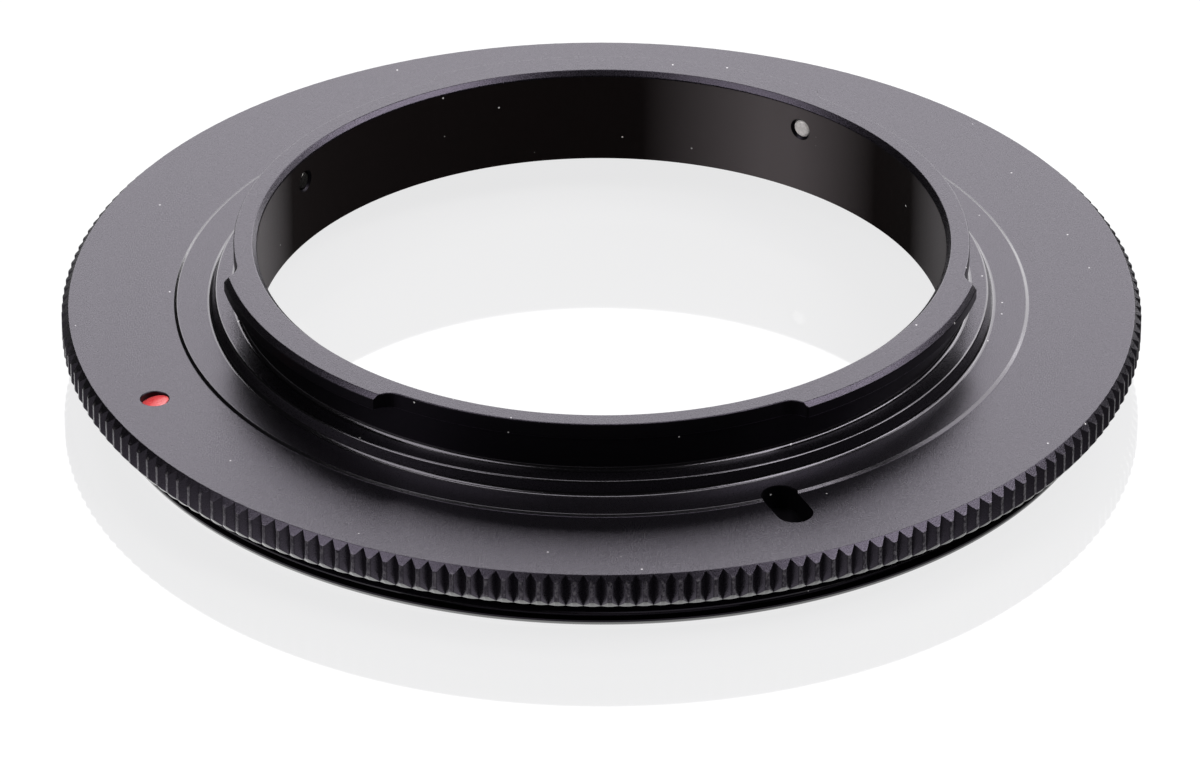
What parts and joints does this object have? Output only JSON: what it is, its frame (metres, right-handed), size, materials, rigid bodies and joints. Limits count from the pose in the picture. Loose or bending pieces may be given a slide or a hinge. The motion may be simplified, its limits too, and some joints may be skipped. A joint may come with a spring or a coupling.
{
  "type": "macro reverse ring",
  "caption": "Flat black adapter ring: a lens bayonet collar on one side, a male filter thread on the other and a knurled grip rim, for fixing a camera lens back to front.",
  "frame": {"origin": "on the ring's axis at the end face of the male thread, which the ring lies on", "axes": "+Z along the ring's axis towards the bayonet, +X through the middle of one gap between two bayonet tabs, -Y the side towards the viewer with the lock slot"},
  "size_m": [0.0662, 0.0662, 0.0087],
  "materials": {
    "black_anodised": "satin black anodised",
    "red_paint": "red enamel paint",
    "pin_steel": "turned, plain"
  },
  "bodies": {
    "root": {"mount_ring": "black_anodised", "index_dot": "red_paint", "stop_pins": "pin_steel"}
  },
  "joints": []
}
